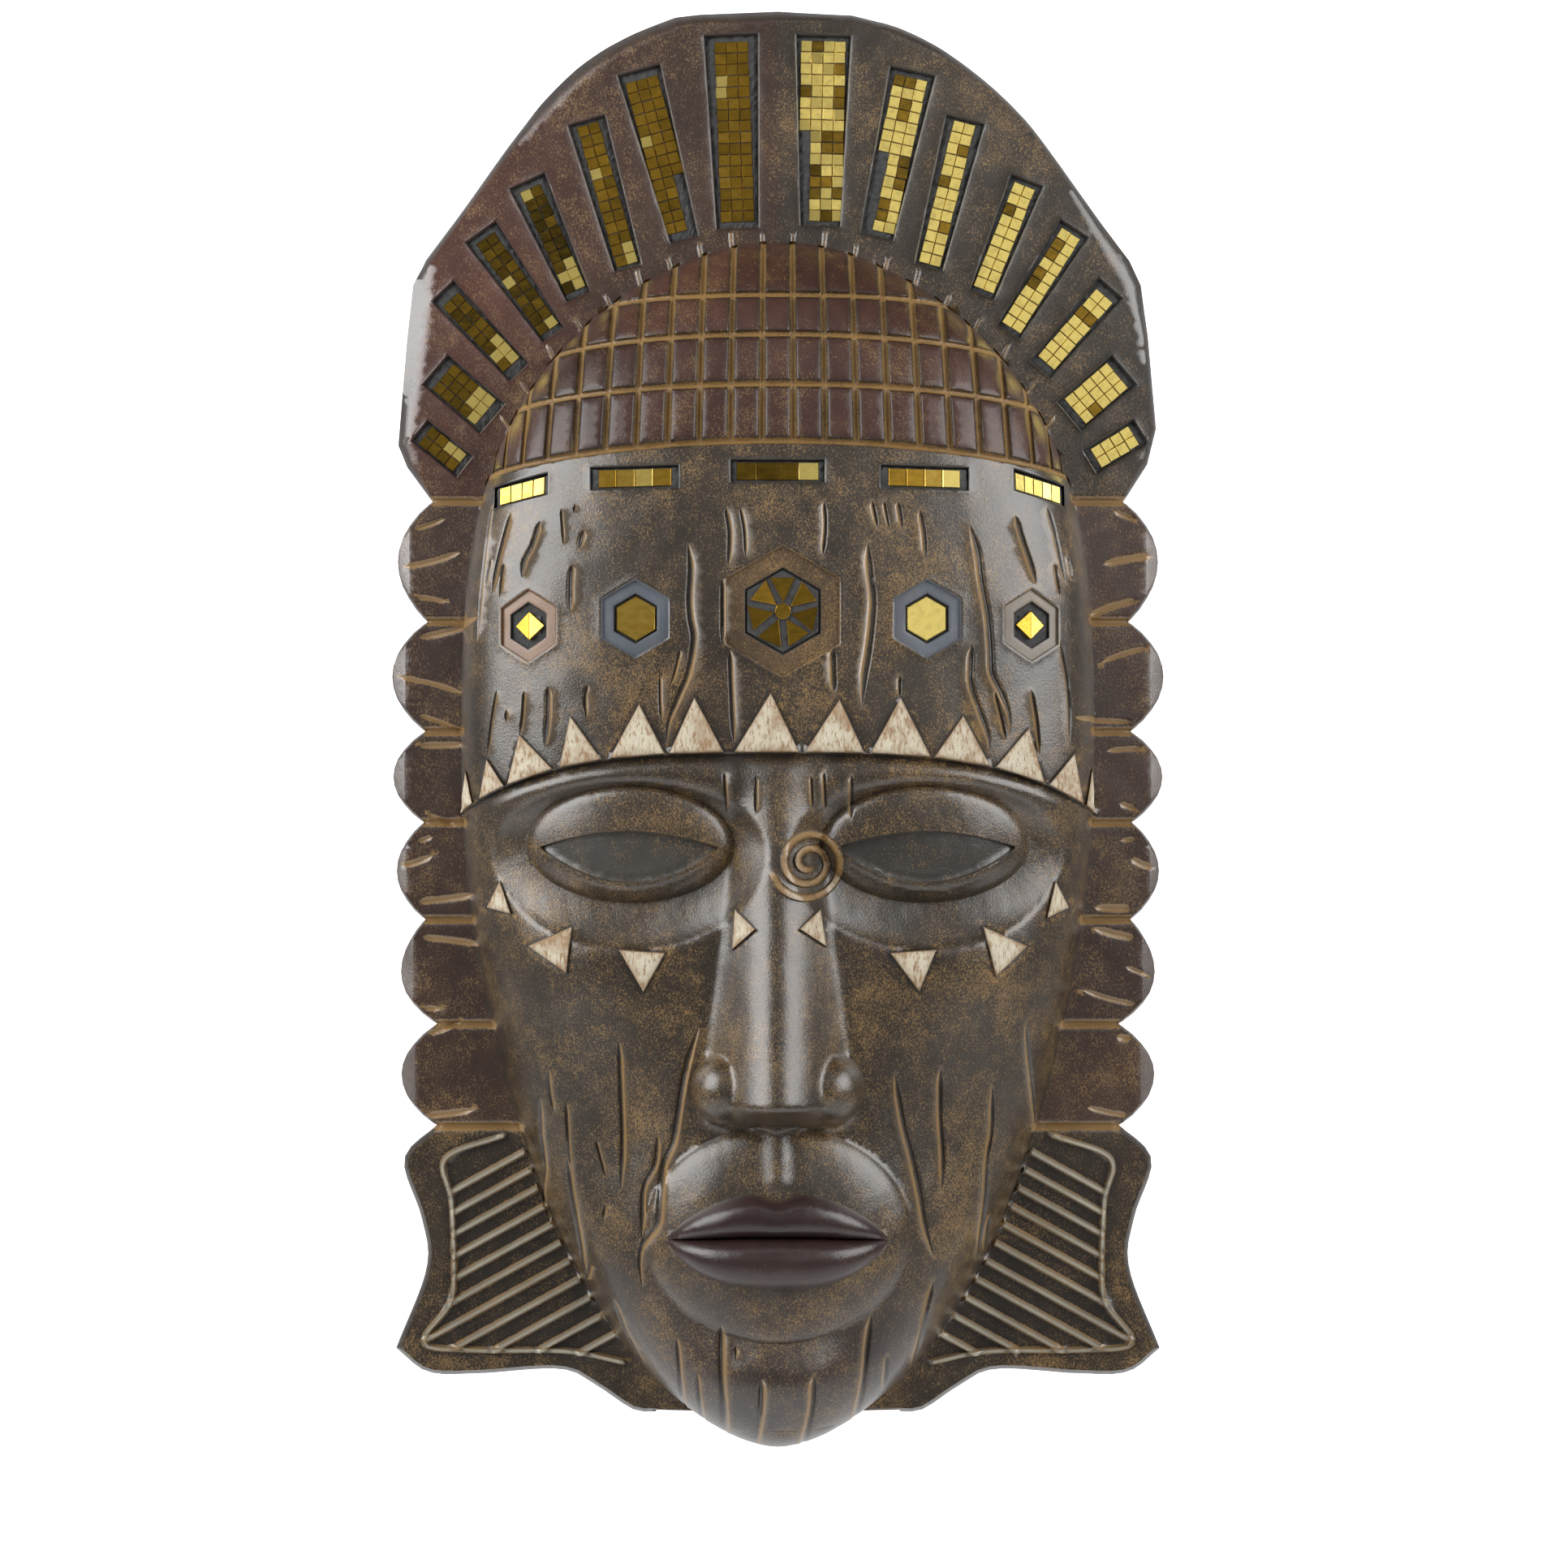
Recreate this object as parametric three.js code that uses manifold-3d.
// A carved-look resin wall mask with mosaic strips of small mirror tiles.
// Millimetres. x runs to the right, z up, and the wall is the plane y = 0, so the front faces -y.
// Heights are drawn from the middle line of the mask. The finished group is then moved so that
// its origin lies at the hanging point on the back of the crest.
import * as THREE from 'three';
import { mergeVertices } from 'three/addons/utils/BufferGeometryUtils.js';
import Module from 'manifold-3d';

const wasm = await Module();
wasm.setup();

// Overall sizes
const hangHeight = 232;
const chinHeight = -233;
const capHeight = 196;
const cheekHeight = 10;
const headHalfWidth = 113.7;
const headDepth = 63.5;
const bandRaise = 2.5;
const wallThickness = 7;
const restGap = 0.3;

// How far the facets may lie off the true surface
const faceTolerance = 1.2;
const bandTolerance = 0.7;
const hollowTolerance = 3;

// The flat surround: depth at its middle fold, and how much it falls away to each side
const plateDepth = 16;
const foldSlope = 0.028;
const rimWidth = 2.5;
const rimDepth = 4;
const clearanceDepth = 40;
const clearanceReach = 700;

// Half outlines of the surround from the top middle outwards and down, knife-cut and uneven
const crestLeft = [
  [0, 277.5], [35, 276.3], [45, 272.6], [53.4, 269.1], [62, 264.6], [70.9, 258.6], [78.6, 251.6],
  [85.3, 244.6], [90.8, 237.5], [98.6, 227], [113.4, 206], [126.8, 188.4], [131.4, 179.8],
  [133.8, 158.5], [136.8, 122], [133.5, 114],
];
const crestRight = [
  [26.5, 276], [41.5, 272.6], [49.9, 269.1], [58.4, 264.6], [67.1, 258.5], [75.9, 251.5],
  [83.4, 244.5], [90.2, 237.4], [98.2, 227], [113.4, 206], [126.7, 188.4], [130.8, 179.6],
  [133.2, 161.4], [136.1, 127.8], [133, 115],
];
const notchHeights = [101.5, 58.3, 18.9, -13.8, -48.7, -86.2, -122.8];
const notchReach = [124.3, 126.2, 127, 127.5, 127, 122.7, 122.8];
const lobeReach = [136.9, 139, 138.5, 137.2, 135.8, 135.7];
const lobeSteps = 6;
const finUpper = [[122.8, -122.8], [134.5, -135], [128.2, -155.9], [126.4, -174], [137.4, -202.9]];
const finLower = [
  [137.4, -202.9], [126, -211.4], [108.6, -212], [78.5, -210.2], [65.6, -215.8], [52, -224.6], [44, -225.3],
];

// Mosaic strips of the crest: middle, lean from upright, recess length, width at foot and top,
// then tile columns at foot and top and tile rows
const tilePitch = 4.05;
const stripRecess = 3;
const tileThickness = 1.8;
const crestStrips = [
  ['left_1', -15.6, 233.7, -2, 69.4, 15.1, 19.5, 3, 3, 16],
  ['left_2', -41.7, 225.5, -15, 62.9, 10.3, 15.8, 2, 3, 14],
  ['left_3', -61.2, 211.5, -15.7, 55, 10.1, 13.8, 2, 2, 13],
  ['left_4', -80.8, 195.5, -23.9, 45.5, 9.2, 14, 2, 2, 10],
  ['left_5', -93.6, 179.6, -35.2, 45.4, 9.3, 13.5, 2, 2, 10],
  ['left_6', -106.6, 162.3, -43.4, 40.2, 9.5, 11.1, 2, 2, 8],
  ['left_7', -112.7, 139.9, -49.5, 27, 13.9, 14.1, 3, 3, 5],
  ['left_8', -120.5, 120.4, -51.5, 20.8, 9.5, 9.6, 2, 2, 4],
  ['right_1', 15.8, 234, 1, 68.2, 14.3, 19.8, 3, 4, 16],
  ['right_2', 41.9, 225.8, 12.3, 60.7, 12, 16.5, 2, 3, 14],
  ['right_3', 60.7, 211.8, 14, 54.5, 10.2, 14.2, 2, 2, 13],
  ['right_4', 81.3, 196, 21.5, 44.1, 9.4, 12.3, 2, 2, 10],
  ['right_5', 94.6, 180.7, 32.5, 44.1, 9.3, 12, 2, 2, 10],
  ['right_6', 106.8, 163.3, 41, 38.7, 9.5, 11.3, 2, 2, 8],
  ['right_7', 114.4, 140.3, 49.8, 25.8, 13.4, 13.8, 3, 3, 5],
  ['right_8', 121.1, 121.1, 59, 21.3, 9.5, 10.1, 2, 2, 4],
];

// Mosaic strips of the forehead band: place, recess length, number of tiles and tile width
const bandStrips = [
  ['band_mosaic_1', -89.8, 102.4, 25, 4, 5.2],
  ['band_mosaic_2', -49.4, 105.7, 31, 4, 6.4],
  ['band_mosaic_3', 0, 107.8, 32.5, 4, 7.1],
  ['band_mosaic_4', 50.8, 105.7, 31, 4, 6.3],
  ['band_mosaic_5', 91.6, 103.6, 25, 5, 4.4],
];
const bandRecessHeight = 8;
const bandTileHeight = 6.4;

// Hexagon medallions: place, ring radius, inner radius
const hexagons = {
  outerLeft: [-86.6, 54.9, 12.8, 8.4],
  innerLeft: [-49, 57, 13.6, 8.8],
  middle: [1.8, 59.4, 22.8, 15.2],
  innerRight: [51.5, 57, 13.6, 8.8],
  outerRight: [88.3, 55.2, 12.8, 8.4],
};
const ringRecess = 1.3;
const mirrorRecess = 2.8;
const mirrorThickness = 1.2;

// Band of teeth: left foot, right foot, point (x and height)
const teeth = [
  [-114, -107.6, -110.5, 4.6], [-104.8, -95.3, -101.8, 8.8], [-94.2, -77.8, -89.7, 17.2],
  [-75.3, -60.7, -71.6, 23.5], [-57.7, -38.8, -47.6, 27.4], [-37.2, -18.5, -28.6, 29.6],
  [-14.9, 7.4, -2.4, 31.2], [9.3, 29.7, 21.3, 29], [31.9, 52.6, 42.3, 29.6],
  [54, 73.3, 63.9, 23.5], [75.3, 92.8, 87.1, 19.4], [94.4, 107.8, 104, 10.8],
  [109, 114, 111.5, 5.5],
];
const toothRaise = 1.8;

// Cap of raised pads: heights of the level grooves at the middle, their fall at the sides
const capRows = [[118.4, 9.5], [138.6, 7.5], [156.6, 8], [171.5, 5]];
const capGrooveWidth = 2.6;
const capGrooveDepth = 1.7;
const capColumnStep = 10.9;
const capColumns = 24;

// Fins below the cheeks
const finFrame = [
  [98.5, -126], [119.3, -134.4], [117, -150], [116.2, -177], [118, -187], [127, -200.6],
  [108, -203], [76, -203.2], [55.5, -207],
];
const ribCount = 11;
const ribTop = -132;
const ribStep = 6.5;
const ribAngle = THREE.MathUtils.degToRad(29);

// Long knife strokes: middle, length, turn
const foreheadStrokes = [
  [-30, 70, 40, 0.02], [-33, 32, 30, 0.1], [-72, 84, 22, 0.25], [-14, 92, 16, 0], [-14, 38, 30, 0],
  [26, 88, 24, 0], [17, 34, 26, 0], [70, 70, 34, 0.12], [79, 40, 30, 0.1], [88, 78, 20, -0.3],
];
const chinStrokes = [[-20, -205, 30, 0.03], [-7, -208, 32, 0], [6, -210, 30, 0], [18, -206, 26, -0.04]];

// Spiral ridge: middle, radii, turns
const spiralMiddle = [10.7, -27];
const spiralInner = 2.4;
const spiralOuter = 13;
const spiralTurns = 2.2;

// Triangles round the eye sockets: angle from the outer corner, width and drop
const cheekMarks = [[207, 13, 11], [240, 19, 14], [275, 16, 14], [318, 13, 12]];
const cheekRing = [52, 39];

// Face proportions: eye line at half the head, thirds from the cap to the chin
const headHeight = capHeight - chinHeight;
const faceThird = (capRows[0][0] - chinHeight) / 3;
const eyeLine = capHeight - headHeight / 2;
const browLine = capRows[0][0] - faceThird;
const noseBase = browLine - faceThird;
const mouthLine = noseBase - faceThird / 3;
const eyeCentre = (2 * headHalfWidth) / 5 + 6;
const eyeHalfWidth = 31;
const mouthHalfWidth = 38;
const mouthMound = [56, 45, 20];
const moundRaise = 7.5;
const upperLip = { height: 15.5, roll: 7.5, power: 2 };
const lowerLip = { height: 18, roll: 8.5, power: 2.4 };
const lipSteps = 7;
const lipOverlap = 0.25;

const clamp = THREE.MathUtils.clamp;
const rise = THREE.MathUtils.smoothstep;
const bell = (value, spread) => Math.exp(-((value / spread) ** 2));
const crown = (value, power) => Math.max(1 - value, 0) ** power;

// Half width of the head at a height: an arch above the cheeks, half an ellipse below
function halfWidthAt(z) {
  const up = clamp((z - cheekHeight) / (capHeight - cheekHeight), 0, 1);
  const down = clamp((cheekHeight - z) / (cheekHeight - chinHeight), 0, 1);
  const share = z > cheekHeight ? (1 - up ** 3.2) ** 0.625 : Math.sqrt(1 - down * down);
  return Math.max(headHalfWidth * share, 1.5);
}

// Depth of the plain head in front of the wall
function domeAt(x, z) {
  const templeHeight = 60;
  const up = clamp((z - templeHeight) / (capHeight - templeHeight), 0, 1);
  const down = clamp((-templeHeight - z) / (-templeHeight - chinHeight), 0, 1);
  const middle = headDepth * (1 - up ** 2.6) ** 0.5 * (1 - down ** 12) ** (1 / 7);
  const power = 2.3 + 0.7 * rise(z, -150, 20);
  return middle * (1 - clamp(Math.abs(x) / halfWidthAt(z), 0, 1) ** power) ** (1 / power);
}

const bandAt = (x, z) => domeAt(x, z) + bandRaise;
const plateAt = (x) => plateDepth - foldSlope * Math.abs(x);
const bandEdgeAt = (x) => 10.3 - 21 * Math.abs(x / 113) ** 3.5;

function socketRelief(a, z) {
  const middle = eyeLine - 5;
  return -10 * crown(((a - eyeCentre) / 48) ** 2 + ((z - middle) / (z > middle ? 25 : 34)) ** 2, 0.8);
}

function noseRelief(a, z) {
  const down = clamp((browLine - z) / (browLine - noseBase), 0, 1);
  const height = (4 + 25 * down ** 1.15) * rise(z, noseBase - 4, noseBase + 7) * (1 - rise(z, 0, 16));
  const halfRidge = 15 + 13 * down ** 1.3;
  return height * crown((a / halfRidge) ** 2, 1.5);
}

// Depth of the face below the band
function faceAt(x, z) {
  const a = Math.abs(x);
  const plain = domeAt(x, z);
  const jawCut = 26 * Math.max(a / halfWidthAt(z) - 0.78, 0) * (1 - rise(z, -90, -30));
  const cheek = 3.5 * bell(a - 72, 22) * bell(z + 62, 20) - 4 * bell(a - 58, 20) * bell(z + 120, 30);
  const brow = 2.6 * bell(z - browLine - 3 + 0.0035 * (a - 46) ** 2, 7) * rise(a, 6, 22) * (1 - rise(a, 92, 108));
  const chin = 6 * bell(x, 26) * bell(z + 206, 15);
  const relief = cheek + brow + chin - jawCut + socketRelief(a, z) + noseRelief(a, z);
  const underBand = 1 - rise(z - bandEdgeAt(x), -7, 1);
  const inside = clamp(plain / 12, 0, 1) * underBand;
  return Math.max(plain + relief * inside, 0);
}

// Depth of the open hollow behind the face, which follows the front loosely
function hollowAt(x, z) {
  const a = Math.abs(x);
  const sockets = 9 * bell(a - eyeCentre, 46) * bell(z - eyeLine + 6, 36);
  const cheeks = 4 * bell(z + 130, 60);
  return Math.max(domeAt(x * 1.05, z * 1.035) - wallThickness - sockets - cheeks, 0);
}
const hollowHalfWidthAt = (z) => Math.max(halfWidthAt(z * 1.035) / 1.05, 1.5);

function toSolid(geometry) {
  const bare = geometry.index ? geometry.clone() : geometry;
  bare.deleteAttribute('normal');
  bare.deleteAttribute('uv');
  const welded = mergeVertices(bare, 1e-4);
  const corners = Array.from(welded.index.array);
  const faces = [];
  for (let i = 0; i < corners.length; i += 3) {
    const [a, b, c] = corners.slice(i, i + 3);
    if (a !== b && b !== c && c !== a) faces.push(a, b, c);
  }
  const vertProperties = new Float32Array(welded.attributes.position.array);
  const solidOf = (order) => new wasm.Manifold(
    new wasm.Mesh({ numProp: 3, vertProperties, triVerts: new Uint32Array(order) }),
  );
  const solid = solidOf(faces);
  return solid.volume() > 0 ? solid : solidOf(faces.reverse());
}

function toGeometry(solid) {
  const mesh = solid.getMesh();
  const geometry = new THREE.BufferGeometry();
  geometry.setAttribute('position', new THREE.BufferAttribute(mesh.vertProperties, 3));
  geometry.setIndex(new THREE.BufferAttribute(mesh.triVerts, 1));
  geometry.computeVertexNormals();
  return geometry;
}

const joinAll = (solids) => solids.reduce((whole, next) => whole.add(next));

// A surface over the outline of the head, closed behind the wall plane. The grid is split in
// halves again and again, only where the surface would otherwise be missed by the tolerance.
function reliefSolid(halfWidth, depthAt, floor, ceiling, tolerance) {
  const cells = 512;
  const side = cells + 1;
  const back = 3;
  const points = [];
  for (let row = 0; row < side; row++) {
    const z = (floor + ceiling) / 2 - ((ceiling - floor) / 2) * Math.cos((Math.PI * row) / cells);
    for (let column = 0; column < side; column++) {
      const x = -halfWidth(z) * Math.cos((Math.PI * column) / cells);
      const rim = row === 0 || row === cells || column === 0 || column === cells;
      points.push(new THREE.Vector3(x, rim ? 0 : -depthAt(x, z), z));
    }
  }
  const at = (column, row) => row * side + column;
  const normalAt = (column, row) => {
    const [west, east] = [points[at(Math.max(column - 1, 0), row)], points[at(Math.min(column + 1, cells), row)]];
    const [low, high] = [points[at(column, Math.max(row - 1, 0))], points[at(column, Math.min(row + 1, cells))]];
    return east.clone().sub(west).cross(high.clone().sub(low)).normalize();
  };
  const misses = new Float32Array(side * side);
  const parents = cells * cells;
  for (let id = 2 * parents - 1; id >= 2; id--) {
    const [ax, ay, bx, by, cx, cy] = cornersOf(id, cells);
    const mid = at((ax + bx) / 2, (ay + by) / 2);
    const straight = points[at(ax, ay)].clone().lerp(points[at(bx, by)], 0.5);
    const gap = straight.sub(points[mid]).dot(normalAt((ax + bx) / 2, (ay + by) / 2));
    let miss = Math.max(misses[mid], Math.abs(gap));
    if (id < parents) {
      miss = Math.max(miss, misses[at((ax + cx) / 2, (ay + cy) / 2)], misses[at((bx + cx) / 2, (by + cy) / 2)]);
    }
    misses[mid] = miss;
  }
  const faces = [];
  const emit = (ax, ay, bx, by, cx, cy) => {
    const mx = (ax + bx) / 2;
    const my = (ay + by) / 2;
    if (Math.abs(ax - cx) + Math.abs(ay - cy) > 1 && misses[at(mx, my)] > tolerance) {
      emit(cx, cy, ax, ay, mx, my);
      emit(bx, by, cx, cy, mx, my);
    } else {
      faces.push([at(ax, ay), at(bx, by), at(cx, cy)]);
    }
  };
  emit(0, 0, cells, cells, cells, 0);
  emit(cells, cells, 0, 0, 0, cells);
  return closedBehind(points, faces, back);
}

// Corners of one of the right triangles that the grid is halved into
function cornersOf(id, cells) {
  let [ax, ay, bx, by, cx, cy] = id & 1 ? [0, 0, cells, cells, cells, 0] : [cells, cells, 0, 0, 0, cells];
  let path = id >> 1;
  while (path > 1) {
    const mx = (ax + bx) / 2;
    const my = (ay + by) / 2;
    [ax, ay, bx, by] = path & 1 ? [bx, by, cx, cy] : [cx, cy, ax, ay];
    [cx, cy] = [mx, my];
    path >>= 1;
  }
  return [ax, ay, bx, by, cx, cy];
}

// Adds a skirt and a flat back to an open surface
function closedBehind(points, faces, back) {
  const edges = new Map();
  for (const face of faces) {
    face.forEach((from, i) => {
      const to = face[(i + 1) % 3];
      if (!edges.delete(`${to},${from}`)) edges.set(`${from},${to}`, [from, to]);
    });
  }
  const vertices = [];
  const put = (p, q, r) => vertices.push(...p.toArray(), ...q.toArray(), ...r.toArray());
  for (const [a, b, c] of faces) put(points[a], points[b], points[c]);
  const centre = new THREE.Vector3(0, back, 0);
  for (const [from, to] of edges.values()) {
    const [p, q] = [points[from], points[to]];
    const [pBack, qBack] = [p.clone().setY(back), q.clone().setY(back)];
    put(p, pBack, q);
    put(q, pBack, qBack);
    put(qBack, pBack, centre);
  }
  const geometry = new THREE.BufferGeometry();
  geometry.setAttribute('position', new THREE.Float32BufferAttribute(vertices, 3));
  return toSolid(geometry);
}

// Place on a surface: z of the result points out of it, y up along it
function placeOn(depthAt, x, z, turn = 0) {
  const step = 0.5;
  const slopeX = (depthAt(x + step, z) - depthAt(x - step, z)) / (2 * step);
  const slopeZ = (depthAt(x, z + step) - depthAt(x, z - step)) / (2 * step);
  const out = new THREE.Vector3(-slopeX, -1, -slopeZ).normalize();
  const across = new THREE.Vector3(1, 0, 0).addScaledVector(out, -out.x).normalize();
  const up = new THREE.Vector3().crossVectors(out, across);
  const place = new THREE.Matrix4().makeBasis(across, up, out);
  place.setPosition(x, -depthAt(x, z), z);
  return place.multiply(new THREE.Matrix4().makeRotationZ(turn));
}

const flatShape = (corners) => new THREE.Shape(corners.map(([x, y]) => new THREE.Vector2(x, y)));

// A block with the given outline, from one level to another along its own z
function blockGeometry(corners, low, high) {
  const block = new THREE.ExtrudeGeometry(flatShape(corners), { depth: high - low, bevelEnabled: false });
  return block.translate(0, 0, low);
}

const blockOn = (place, corners, low, high) => toSolid(blockGeometry(corners, low, high).applyMatrix4(place));

const hexagon = (radius) => Array.from({ length: 6 }, (_, i) => {
  const angle = (Math.PI / 3) * i + Math.PI / 2;
  return [radius * Math.cos(angle), radius * Math.sin(angle)];
});

const taper = (foot, top, length) => [
  [-foot / 2, -length / 2], [foot / 2, -length / 2], [top / 2, length / 2], [-top / 2, length / 2],
];

// A closed body through sections that follow one another
function loft(stations) {
  const vertices = [];
  const put = (...corners) => corners.forEach((corner) => vertices.push(...corner.toArray()));
  const last = stations.length - 1;
  for (let i = 1; i < stations[0].length - 1; i++) {
    put(stations[0][0], stations[0][i + 1], stations[0][i]);
    put(stations[last][0], stations[last][i], stations[last][i + 1]);
  }
  for (let k = 0; k < last; k++) {
    stations[k].forEach((corner, i) => {
      const j = (i + 1) % stations[k].length;
      put(corner, stations[k][j], stations[k + 1][i]);
      put(stations[k][j], stations[k + 1][j], stations[k + 1][i]);
    });
  }
  const geometry = new THREE.BufferGeometry();
  geometry.setAttribute('position', new THREE.Float32BufferAttribute(vertices, 3));
  return geometry;
}

// A bar or groove with the same section at each point of a path that lies on a surface
function sweepOn(depthAt, path, section) {
  const stations = path.map(([x, z], i) => {
    const [x0, z0] = path[Math.max(i - 1, 0)];
    const [x1, z1] = path[Math.min(i + 1, path.length - 1)];
    const place = placeOn(depthAt, x, z);
    const out = new THREE.Vector3().setFromMatrixColumn(place, 2);
    const along = new THREE.Vector3(x1 - x0, depthAt(x0, z0) - depthAt(x1, z1), z1 - z0).normalize();
    const aside = new THREE.Vector3().crossVectors(along, out).normalize();
    const origin = new THREE.Vector3().setFromMatrixPosition(place);
    return section.map(([s, t]) => origin.clone().addScaledVector(aside, s).addScaledVector(out, t));
  });
  return toSolid(loft(stations));
}

const grooveSection = (width, depth, lift) => {
  const half = (width / 2) * (1 + lift / depth);
  return [[0, -depth], [-half, lift], [half, lift]];
};
const ridgeSection = (width, height) => [[-width, -height], [width, -height], [0, height]];

// Outline of the surround, as one closed loop seen from the front
function plateOutline() {
  const halfLoop = (crest) => {
    const points = crest.map(([x, z]) => [x, z]);
    for (let lobe = 0; lobe < lobeReach.length; lobe++) {
      for (let step = 0; step < lobeSteps; step++) {
        const share = step / lobeSteps;
        const swell = Math.sin(Math.PI * share) ** 0.85;
        const notch = THREE.MathUtils.lerp(notchReach[lobe], notchReach[lobe + 1], share);
        const z = THREE.MathUtils.lerp(notchHeights[lobe], notchHeights[lobe + 1], share);
        points.push([notch + (lobeReach[lobe] - notch) * swell, z]);
      }
    }
    for (const [knots, steps] of [[finUpper, 9], [finLower, 12]]) {
      const curve = new THREE.SplineCurve(knots.map(([x, z]) => new THREE.Vector2(x, z)));
      curve.getPoints(steps).slice(0, -1).forEach((point) => points.push([point.x, point.y]));
    }
    points.push(finLower.at(-1));
    return points;
  };
  const left = halfLoop(crestLeft).map(([x, z]) => [-x, z]);
  return [...left, ...halfLoop(crestRight).reverse()];
}

function surround() {
  const plate = new THREE.ExtrudeGeometry(flatShape(plateOutline()), {
    depth: plateDepth - rimDepth, bevelEnabled: true, bevelThickness: rimDepth,
    bevelSize: rimWidth, bevelOffset: -rimWidth, bevelSegments: 1, curveSegments: 1,
  });
  let solid = toSolid(plate.rotateX(Math.PI / 2));
  for (const side of [-1, 1]) {
    const shaving = new THREE.BoxGeometry(clearanceReach / 2, clearanceDepth, clearanceReach);
    shaving.translate((side * clearanceReach) / 4, -clearanceDepth / 2, 0);
    shaving.rotateZ(side * Math.atan(foldSlope)).translate(0, -plateDepth, 0);
    solid = solid.subtract(toSolid(shaving));
  }
  return solid;
}

// Grooves cut from each notch to the face
function notchGrooves() {
  const cuts = [];
  const groove = grooveSection(3, 2, 1.5);
  for (const side of [-1, 1]) {
    notchHeights.forEach((z, i) => {
      const inner = halfWidthAt(z) - 2;
      cuts.push(sweepOn(plateAt, [[side * inner, z], [side * (notchReach[i] + 3), z]], groove));
    });
  }
  return cuts;
}

// A pointed knife stroke: an eight-sided sliver sunk in the surface, long way along its own y
function gouge(depthAt, x, z, length, width, depth, turn) {
  const sliver = new THREE.OctahedronGeometry(1).scale(width / 2, length / 2, depth);
  return toSolid(sliver.applyMatrix4(placeOn(depthAt, x, z, turn)));
}

// The cap: raised pads between level and upright grooves. Each pad is a cell between groove
// lines, and cells that the arch of the cap cuts off shrink to what is left of them.
function capPads() {
  const [footMiddle, footFall] = capRows[0];
  const reach = halfWidthAt(footMiddle - footFall) - 1;
  const places = evenPlaces(footMiddle - footFall / 2, capColumnStep, capColumns);
  const columns = [-reach, ...places.sort((a, b) => a - b), reach];
  const lines = columns.map((foot) => {
    const level = (z) => foot * (1 - (0.04 * (z - footMiddle)) / 60);
    const top = archTopAt(Math.abs(foot));
    const heights = capRows.map(([middle, fall]) => Math.min(middle - fall * (foot / reach) ** 2, top));
    return [...heights, top].map((z) => [level(z), z]);
  });
  const bottomOf = ([x, z]) => new THREE.Vector3(x, capGrooveDepth - bandAt(x, z), z);
  const quads = [];
  for (let i = 0; i < lines.length - 1; i++) {
    for (let k = 0; k < capRows.length; k++) {
      const cell = [lines[i][k], lines[i + 1][k], lines[i + 1][k + 1], lines[i][k + 1]];
      const height = Math.max(cell[3][1] - cell[0][1], cell[2][1] - cell[1][1]);
      const bottom = cell.map(bottomOf);
      if (height > 2 * capGrooveWidth) quads.push(...padFaces(cell, bottom));
      else if (height > 0) quads.push(bottom);
    }
  }
  const points = [];
  const known = new Map();
  const indexOf = (point) => {
    const key = point.toArray().map((value) => value.toFixed(3)).join();
    if (!known.has(key)) known.set(key, points.push(point) - 1);
    return known.get(key);
  };
  const faces = [];
  for (const quad of quads) {
    const [a, b, c, d] = quad.map(indexOf);
    for (const face of [[a, b, c], [a, c, d]]) if (new Set(face).size === 3) faces.push(face);
  }
  return closedBehind(points, faces, 3);
}

// Sloped sides and flat top of one pad, as quads
function padFaces(cell, bottom) {
  const half = capGrooveWidth / 2;
  const middle = cell.reduce(([x, z], [cx, cz]) => [x + cx / 4, z + cz / 4], [0, 0]);
  const top = cell.map(([x, z]) => {
    const inX = x + Math.sign(middle[0] - x) * Math.min(half, Math.abs(middle[0] - x));
    const inZ = z + Math.sign(middle[1] - z) * Math.min(half, Math.abs(middle[1] - z));
    return new THREE.Vector3(inX, -bandAt(inX, inZ), inZ);
  });
  const sides = [0, 1, 2, 3].map((i) => [bottom[i], bottom[(i + 1) % 4], top[(i + 1) % 4], top[i]]);
  return [top, ...sides];
}

// Places across the cap with equal steps along its curve, middle outwards on both sides
function evenPlaces(z, gap, count) {
  const places = [];
  for (const side of [-1, 1]) {
    let run = 0;
    let next = gap / 2;
    let found = 0;
    for (let x = 0; x < halfWidthAt(z) - 2 && found < count / 2; x += 0.25) {
      run += Math.hypot(0.25, bandAt(x + 0.25, z) - bandAt(x, z));
      if (run < next) continue;
      places.push(side * x);
      found += 1;
      next += gap;
    }
  }
  return places;
}

// Height at which the cap meets the surround at a distance from the middle
function archTopAt(a) {
  let z = capHeight;
  while (z > 0 && (halfWidthAt(z) < a || bandAt(a, z) < plateAt(a) + 1)) z -= 0.5;
  return z;
}

function hexagonRecesses() {
  const cuts = [];
  for (const [x, z, ring, inner] of Object.values(hexagons)) {
    const place = placeOn(bandAt, x, z);
    cuts.push(blockOn(place, hexagon(ring), -ringRecess, 6));
    cuts.push(blockOn(place, hexagon(inner), -mirrorRecess, 6));
  }
  return cuts;
}

function stripRecesses() {
  const cuts = crestStrips.map(([, x, z, lean, length, foot, top]) => {
    const place = placeOn(plateAt, x, z, THREE.MathUtils.degToRad(-lean));
    return blockOn(place, taper(foot, top, length), -stripRecess, 6);
  });
  for (const [, x, z, length] of bandStrips) {
    const outline = taper(length, length, bandRecessHeight);
    cuts.push(blockOn(placeOn(bandAt, x, z), outline, -stripRecess, 6));
  }
  return cuts;
}

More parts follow.
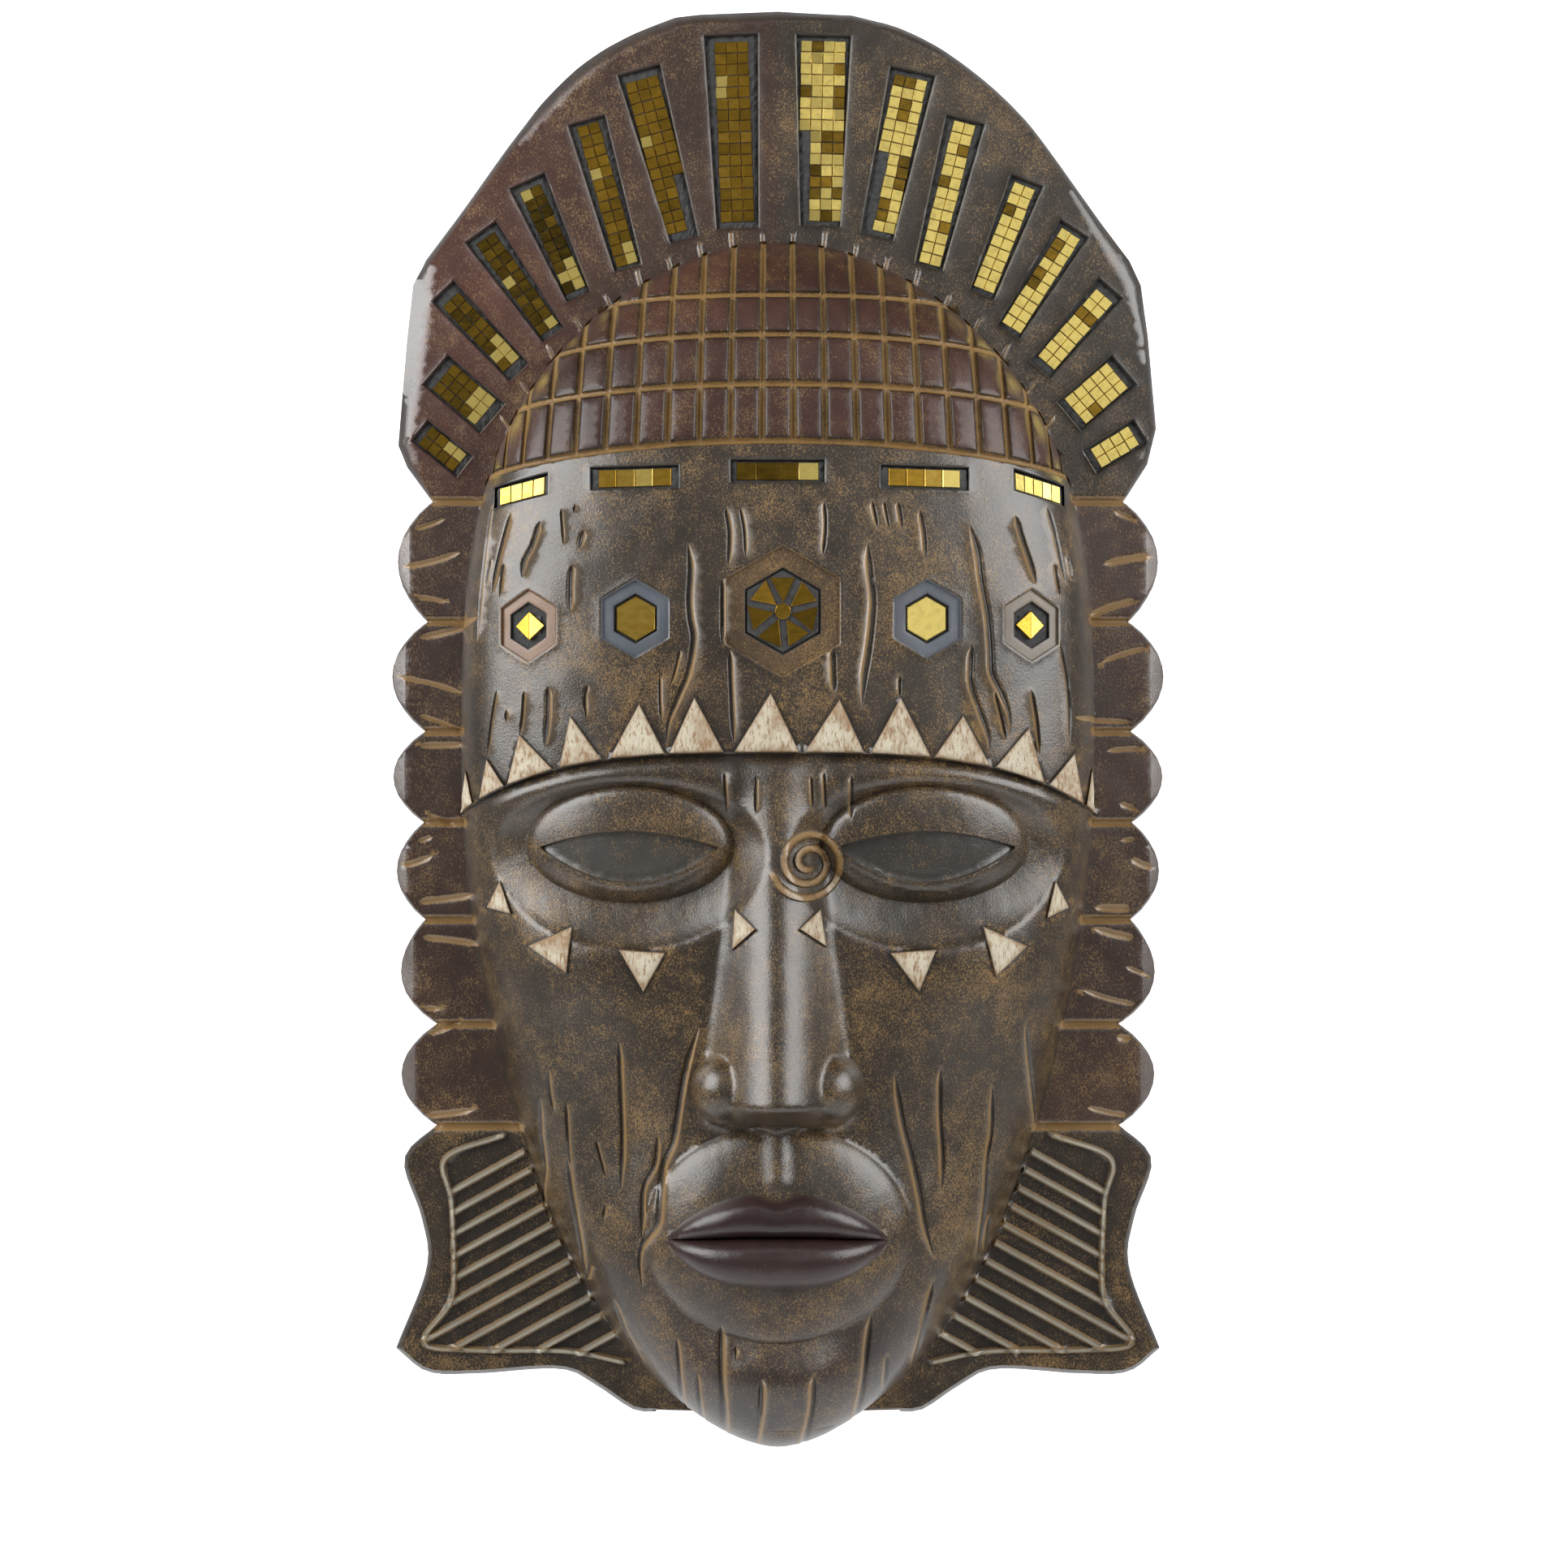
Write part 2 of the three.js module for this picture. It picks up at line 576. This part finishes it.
// Teeth along the lower edge of the band
function toothRow() {
  return teeth.map(([left, right, pointX, pointZ]) => {
    const middle = (left + right) / 2;
    const foot = (bandEdgeAt(left) + bandEdgeAt(right)) / 2;
    const place = placeOn(bandAt, middle, (foot + pointZ) / 2);
    const stretch = 1 / new THREE.Vector3().setFromMatrixColumn(place, 0).x;
    const half = (pointZ - foot) / 2;
    const corners = [
      [(left - middle) * stretch, bandEdgeAt(left) - foot - half + 0.8],
      [(right - middle) * stretch, bandEdgeAt(right) - foot - half + 0.8],
      [(pointX - middle) * stretch, half],
    ];
    return blockOn(place, corners, -3, toothRaise);
  });
}

// Triangles set round the lower half of each eye socket
function cheekTriangles() {
  const [ringAcross, ringUp] = cheekRing;
  const solids = [];
  for (const side of [-1, 1]) {
    for (const [degrees, width, drop] of cheekMarks) {
      const angle = THREE.MathUtils.degToRad(degrees);
      const x = side * (eyeCentre - ringAcross * Math.cos(angle));
      const z = eyeLine - 5 + ringUp * Math.sin(angle);
      const turn = -side * Math.atan2(-0.7 * Math.cos(angle), -Math.sin(angle));
      const corners = [[-width / 2, drop / 3], [width * 0.08, (-drop * 2) / 3], [width / 2, drop / 3]];
      solids.push(blockOn(placeOn(faceAt, x, z, turn), corners, -4, toothRaise));
    }
  }
  return solids;
}

// A swelling on the face: an ellipsoid that stands a little out of the surface
function swelling(depthAt, x, z, [across, up, out], proud, segments) {
  const ball = new THREE.SphereGeometry(1, segments, Math.round(segments * 0.6)).rotateX(Math.PI / 2);
  ball.scale(across, up, out).translate(0, 0, proud - out);
  return toSolid(ball.applyMatrix4(placeOn(depthAt, x, z)));
}

// One full lip on the mound of the mouth: a roll that tapers to both corners
function lip({ height, roll, power }, side) {
  const [moundAcross, moundUp, moundOut] = mouthMound;
  const moundAt = (u, v) => {
    const ball = Math.sqrt(1 - (u / moundAcross) ** 2 - (v / moundUp) ** 2);
    return moundRaise - moundOut * (1 - ball);
  };
  const stations = [];
  for (let step = -lipSteps; step <= lipSteps; step++) {
    const share = Math.sin((Math.PI / 2) * (step / lipSteps));
    const out = Math.abs(share);
    const u = mouthHalfWidth * share;
    const parting = -2 * out * out;
    const full = height * crown(out ** power, 0.75) - (side > 0 ? 3.2 * bell(u, 6) : 0);
    const section = [];
    for (let turn = 0; turn <= 6; turn++) {
      const angle = (Math.PI * turn) / 6;
      const v = parting + side * ((full * (1 - Math.cos(angle))) / 2 - (turn === 0 ? lipOverlap : 0));
      section.push([u, v, moundAt(u, v) + roll * crown(out ** 5, 0.5) * Math.sin(angle) ** 0.8]);
    }
    const [foot, top] = [section[0], section.at(-1)];
    section.push([u, top[1], top[2] - 6], [u, foot[1], foot[2] - 6]);
    stations.push(section.map((corner) => new THREE.Vector3(...corner)));
  }
  return toSolid(loft(stations).applyMatrix4(placeOn(domeAt, 0, mouthLine)));
}

// Lidded eyes, the mouth on its mound and the wings of the nose
function faceSwellings() {
  const opening = [];
  for (let step = -3; step <= 3; step++) {
    opening.push([(step / 3) * eyeHalfWidth, -1.5 - 12 * (1 - (step / 3) ** 2)]);
  }
  for (let step = 2; step >= -2; step--) {
    opening.push([(step / 3) * eyeHalfWidth, -1.5 + 5.5 * (1 - (step / 3) ** 2)]);
  }
  const solids = [swelling(domeAt, 0, mouthLine, mouthMound, moundRaise, 16), lip(upperLip, 1), lip(lowerLip, -1)];
  for (const side of [-1, 1]) {
    const eye = [side * (eyeCentre + 1), eyeLine - 2];
    const lids = swelling(domeAt, ...eye, [39, 22, 19], 1.5, 12);
    const slit = blockOn(placeOn(domeAt, ...eye), opening, -20, 10);
    solids.push(lids.subtract(slit), swelling(domeAt, ...eye, [37.5, 20.5, 19], -1.2, 10));
    solids.push(swelling(domeAt, side * 18.5, noseBase + 11, [11.5, 12.5, 15], 15, 8));
  }
  return solids;
}

// Spiral ridge between the brows
function spiral() {
  const [middleX, middleZ] = spiralMiddle;
  const path = [];
  const steps = 24;
  for (let step = 0; step <= steps; step++) {
    const share = step / steps;
    const angle = -Math.PI / 2 - share * spiralTurns * 2 * Math.PI;
    const radius = THREE.MathUtils.lerp(spiralInner, spiralOuter, share);
    path.push([middleX + radius * Math.cos(angle), middleZ + radius * Math.sin(angle)]);
  }
  const smoothAt = (x, z) => bandAt(x, z) - 1 + noseRelief(0, middleZ);
  return sweepOn(smoothAt, path, [[-1.6, -6], [1.6, -6], [0, 1.4]]);
}

// Frame ridge and slanted ribs on both fins
function finRibs() {
  const solids = [];
  for (const side of [-1, 1]) {
    solids.push(sweepOn(plateAt, finFrame.map(([x, z]) => [side * x, z]), ridgeSection(1.7, 1.5)));
    for (let rib = 0; rib < ribCount; rib++) {
      const z = ribTop - ribStep * rib;
      const inner = halfWidthAt(z) + 1;
      const reach = frameReach(inner, z) - 2;
      const outer = [side * (inner + reach * Math.cos(ribAngle)), z - reach * Math.sin(ribAngle)];
      solids.push(sweepOn(plateAt, [[side * inner, z], outer], ridgeSection(1.7, 1.6)));
    }
  }
  return solids;
}

// Distance from a point on the inner edge of the fin to its frame along the rib direction
function frameReach(x, z) {
  const [dx, dz] = [Math.cos(ribAngle), -Math.sin(ribAngle)];
  let nearest = Infinity;
  for (let i = 0; i < finFrame.length - 1; i++) {
    const [[x0, z0], [x1, z1]] = [finFrame[i], finFrame[i + 1]];
    const turn = dx * (z1 - z0) - dz * (x1 - x0);
    const along = ((x0 - x) * (z1 - z0) - (z0 - z) * (x1 - x0)) / turn;
    const share = ((x0 - x) * dz - (z0 - z) * dx) / turn;
    if (along > 3 && share >= 0 && share <= 1) nearest = Math.min(nearest, along);
  }
  return nearest;
}

// Long knife strokes of the forehead and the chin
function strokes() {
  const cuts = foreheadStrokes.map(([x, z, length, turn]) => gouge(bandAt, x, z, length, 2.4, 1.3, turn));
  chinStrokes.forEach(([x, z, length, turn]) => cuts.push(gouge(faceAt, x, z, length, 2.6, 1.8, turn)));
  return cuts;
}

// Everything in front of the wall that lies between two lines drawn across the head
function headSlice(solid, lower, upper) {
  const outline = flatShape([...lower, ...upper.reverse()]);
  const slice = new THREE.ExtrudeGeometry(outline, { depth: 120, bevelEnabled: false });
  return solid.intersect(toSolid(slice.rotateX(Math.PI / 2).translate(0, 10, 0)));
}

function castingSolid() {
  const face = reliefSolid(halfWidthAt, faceAt, chinHeight, capHeight, faceTolerance);
  const band = reliefSolid(halfWidthAt, bandAt, chinHeight, capHeight, bandTolerance);
  const hollowFoot = chinHeight + wallThickness + 1;
  const hollow = reliefSolid(hollowHalfWidthAt, hollowAt, hollowFoot, capHeight - wallThickness, hollowTolerance);
  const wallBlock = new THREE.BoxGeometry(clearanceReach, clearanceDepth, clearanceReach);
  const wall = toSolid(wallBlock.translate(0, clearanceDepth / 2, 0));
  const [capFoot, capFall] = capRows[0];
  const across = Array.from({ length: 15 }, (_, i) => (i - 7) * 17);
  const bandLow = across.map((x) => [x, bandEdgeAt(x)]);
  const bandHigh = across.map((x) => [x, capFoot + 1 - capFall * (x / headHalfWidth) ** 2]);
  const forehead = headSlice(band, bandLow, bandHigh);
  const details = [...faceSwellings(), ...toothRow(), ...cheekTriangles(), spiral()];
  let solid = surround().subtract(joinAll(notchGrooves()));
  solid = joinAll([solid, ...finRibs(), face, forehead, capPads(), ...details]);
  solid = solid.subtract(joinAll([...hexagonRecesses(), ...stripRecesses(), ...strokes()]));
  return solid.subtract(hollow).subtract(wall);
}

const resin = { color: 0x3b2f27, roughness: 0.42, metalness: 0 };
const goldMirror = { color: 0xb08a2a, roughness: 0.12, metalness: 1 };

function piece(name, geometry, finish, place = new THREE.Matrix4()) {
  const mesh = new THREE.Mesh(geometry, new THREE.MeshStandardMaterial(finish));
  mesh.name = name;
  mesh.applyMatrix4(place);
  return mesh;
}

function crestMosaic([name, x, z, lean, , , , footColumns, topColumns, rows]) {
  const place = placeOn(plateAt, x, z, THREE.MathUtils.degToRad(-lean));
  const low = -stripRecess + restGap;
  const outline = taper(footColumns * tilePitch, topColumns * tilePitch, rows * tilePitch);
  return piece(`crest_mosaic_${name}`, blockGeometry(outline, low, low + tileThickness), goldMirror, place);
}

function bandMosaic([name, x, z, , count, width]) {
  const low = -stripRecess + restGap;
  const outline = taper(count * width, count * width, bandTileHeight);
  return piece(name, blockGeometry(outline, low, low + tileThickness), goldMirror, placeOn(bandAt, x, z));
}

function mirrorTile(name, [x, z], outline) {
  const low = -mirrorRecess + restGap;
  return piece(name, blockGeometry(outline, low, low + mirrorThickness), goldMirror, placeOn(bandAt, x, z));
}

// Seven mirror wedges round a dot, on one bed
function rosette([x, z, , inner]) {
  const low = -mirrorRecess + restGap;
  const bedTop = low + 0.8;
  let solid = toSolid(blockGeometry(hexagon(inner - 1), low, bedTop));
  for (let wedge = 0; wedge < 7; wedge++) {
    const outline = [[0, 2.6], [3.6, 11.2], [-3.6, 11.2]];
    const shard = blockGeometry(outline, bedTop - 0.3, bedTop + 0.8).rotateZ((wedge * 2 * Math.PI) / 7);
    solid = solid.add(toSolid(shard));
  }
  const dot = new THREE.CylinderGeometry(2.5, 2.5, 1.1, 12).rotateX(Math.PI / 2);
  solid = solid.add(toSolid(dot.translate(0, 0, bedTop + 0.25)));
  return piece('rosette_mosaic', toGeometry(solid), goldMirror, placeOn(bandAt, x, z));
}

const rhombus = (width, height) => [[0, -height / 2], [width / 2, 0], [0, height / 2], [-width / 2, 0]];

const wallMask = new THREE.Group();
wallMask.position.set(0, 0, -hangHeight);
wallMask.add(piece('mask_casting', toGeometry(castingSolid()), resin));
crestStrips.forEach((strip) => wallMask.add(crestMosaic(strip)));
bandStrips.forEach((strip) => wallMask.add(bandMosaic(strip)));
wallMask.add(mirrorTile('rhombus_mirror_left', hexagons.outerLeft, rhombus(12, 10)));
wallMask.add(mirrorTile('hexagon_mirror_left', hexagons.innerLeft, hexagon(7.8)));
wallMask.add(rosette(hexagons.middle));
wallMask.add(mirrorTile('hexagon_mirror_right', hexagons.innerRight, hexagon(7.8)));
wallMask.add(mirrorTile('rhombus_mirror_right', hexagons.outerRight, rhombus(12, 10)));

export default wallMask;
